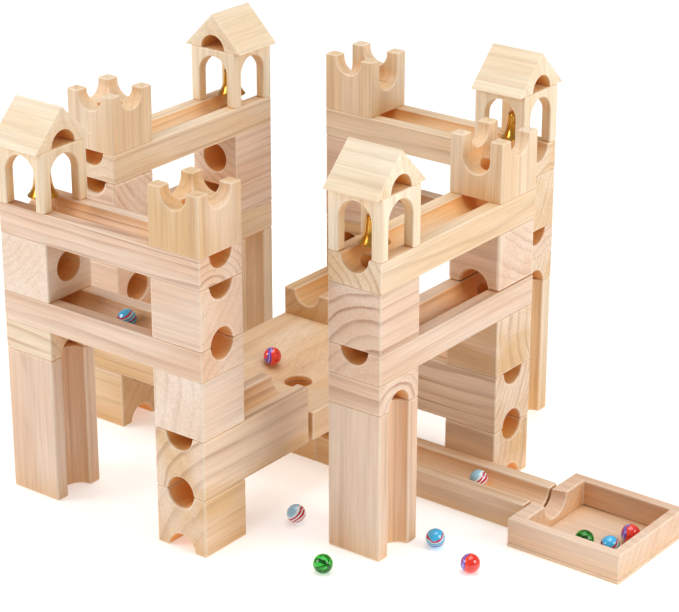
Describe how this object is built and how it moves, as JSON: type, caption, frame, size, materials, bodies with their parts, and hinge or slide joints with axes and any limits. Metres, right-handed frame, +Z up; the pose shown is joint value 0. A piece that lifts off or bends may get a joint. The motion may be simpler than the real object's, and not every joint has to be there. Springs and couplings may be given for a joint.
{
  "type": "marble run",
  "caption": "Wooden marble run of stacked grooved blocks: arms of rails in a pinwheel round a bowl board, crown and house towers, hanging bells, exit rail and tray.",
  "frame": {"origin": "on the floor, under the middle of the centre board's drain hole, on the flat underside of the centre block", "axes": "+X along the exit rail towards the tray, +Y towards the back arm, +Z up"},
  "size_m": [0.522, 0.394, 0.319],
  "materials": {
    "pine_pale": "sanded, unvarnished pine, pale",
    "pine_cube": "sanded, unvarnished pine, pinkish end grain",
    "pine_long": "sanded, unvarnished pine, tan",
    "plywood": "thin pale plywood",
    "brass": "polished",
    "glass_blue": "opaque banded glass",
    "glass_red": "opaque swirled glass",
    "glass_white": "opaque banded glass",
    "glass_mixed": "opaque swirled glass in several colours"
  },
  "bodies": {
    "blocks": {"front_upper_rail": "pine_pale", "left_upper_rail": "pine_pale", "back_upper_rail": "pine_pale", "right_upper_rail": "pine_pale", "front_upper_cube": "pine_cube", "left_upper_cube": "pine_cube", "back_upper_cube": "pine_cube", "right_upper_cube": "pine_cube", "front_lower_rail": "pine_pale", "left_lower_rail": "pine_pale", "back_lower_rail": "pine_pale", "right_lower_rail": "pine_pale", "front_lower_cube": "pine_cube", "left_lower_cube": "pine_cube", "back_lower_cube": "pine_cube", "right_lower_cube": "pine_cube", "front_beam": "pine_long", "left_beam": "pine_long", "back_beam": "pine_long", "right_beam": "pine_long", "base_cubes": "pine_cube", "front_house": "pine_pale", "left_house": "pine_pale", "back_house": "pine_pale", "right_house": "pine_pale", "front_house_cube": "pine_cube", "left_house_cube": "pine_cube", "back_house_cube": "pine_cube", "right_house_cube": "pine_cube", "bell_hooks": "brass", "half_blocks": "pine_cube", "house_columns": "pine_long", "centre_board": "pine_pale", "centre_block": "pine_cube", "exit_rail": "pine_pale", "floor_marbles": "glass_mixed"},
    "front_bell": {"front_bell": "brass", "front_clapper": "brass"},
    "front_roof": {"front_roof": "pine_pale"},
    "front_crown": {"front_crown": "pine_pale"},
    "left_bell": {"left_bell": "brass", "left_clapper": "brass"},
    "left_roof": {"left_roof": "pine_pale"},
    "left_crown": {"left_crown": "pine_pale"},
    "back_bell": {"back_bell": "brass", "back_clapper": "brass"},
    "back_roof": {"back_roof": "pine_pale"},
    "back_crown": {"back_crown": "pine_pale"},
    "right_bell": {"right_bell": "brass", "right_clapper": "brass"},
    "right_roof": {"right_roof": "pine_pale"},
    "right_crown": {"right_crown": "pine_pale"},
    "rail_marble": {"rail_marble": "glass_blue"},
    "board_marble": {"board_marble": "glass_red"},
    "exit_marble": {"exit_marble": "glass_white"},
    "tray": {"tray_frame": "pine_pale", "tray_panel": "plywood", "tray_marbles": "glass_mixed"}
  },
  "joints": [
    {"name": "front_bell_swing", "type": "hinge", "parent": "blocks", "child": "front_bell", "pos_m": [-0.104, -0.178, 0.2699], "axis": [0, 1, 0], "range_deg": [-20, 20]},
    {"name": "front_roof_lift", "type": "slide", "parent": "blocks", "child": "front_roof", "axis": [0, 0, 1], "range_m": [0, 0.08]},
    {"name": "front_crown_lift", "type": "slide", "parent": "blocks", "child": "front_crown", "axis": [0, 0, 1], "range_m": [0, 0.08]},
    {"name": "left_bell_swing", "type": "hinge", "parent": "blocks", "child": "left_bell", "pos_m": [-0.154, 0.104, 0.2699], "axis": [1, 0, 0], "range_deg": [-20, 20]},
    {"name": "left_roof_lift", "type": "slide", "parent": "blocks", "child": "left_roof", "axis": [0, 0, 1], "range_m": [0, 0.08]},
    {"name": "left_crown_lift", "type": "slide", "parent": "blocks", "child": "left_crown", "axis": [0, 0, 1], "range_m": [0, 0.08]},
    {"name": "back_bell_swing", "type": "hinge", "parent": "blocks", "child": "back_bell", "pos_m": [0.104, 0.154, 0.2699], "axis": [0, 1, 0], "range_deg": [-20, 20]},
    {"name": "back_roof_lift", "type": "slide", "parent": "blocks", "child": "back_roof", "axis": [0, 0, 1], "range_m": [0, 0.08]},
    {"name": "back_crown_lift", "type": "slide", "parent": "blocks", "child": "back_crown", "axis": [0, 0, 1], "range_m": [0, 0.08]},
    {"name": "right_bell_swing", "type": "hinge", "parent": "blocks", "child": "right_bell", "pos_m": [0.154, -0.104, 0.2699], "axis": [1, 0, 0], "range_deg": [-20, 20]},
    {"name": "right_roof_lift", "type": "slide", "parent": "blocks", "child": "right_roof", "axis": [0, 0, 1], "range_m": [0, 0.08]},
    {"name": "right_crown_lift", "type": "slide", "parent": "blocks", "child": "right_crown", "axis": [0, 0, 1], "range_m": [0, 0.08]},
    {"name": "rail_marble_roll", "type": "slide", "parent": "blocks", "child": "rail_marble", "axis": [1, 0, 0], "range_m": [-0.05, 0.07]},
    {"name": "board_marble_swirl", "type": "hinge", "parent": "blocks", "child": "board_marble", "pos_m": [0, 0, 0.067], "axis": [0, 0, 1], "continuous": true},
    {"name": "exit_marble_roll", "type": "slide", "parent": "blocks", "child": "exit_marble", "axis": [1, 0, 0], "range_m": [-0.18, 0.06]},
    {"name": "tray_pull", "type": "slide", "parent": "blocks", "child": "tray", "axis": [1, 0, 0], "range_m": [0, 0.12]}
  ]
}
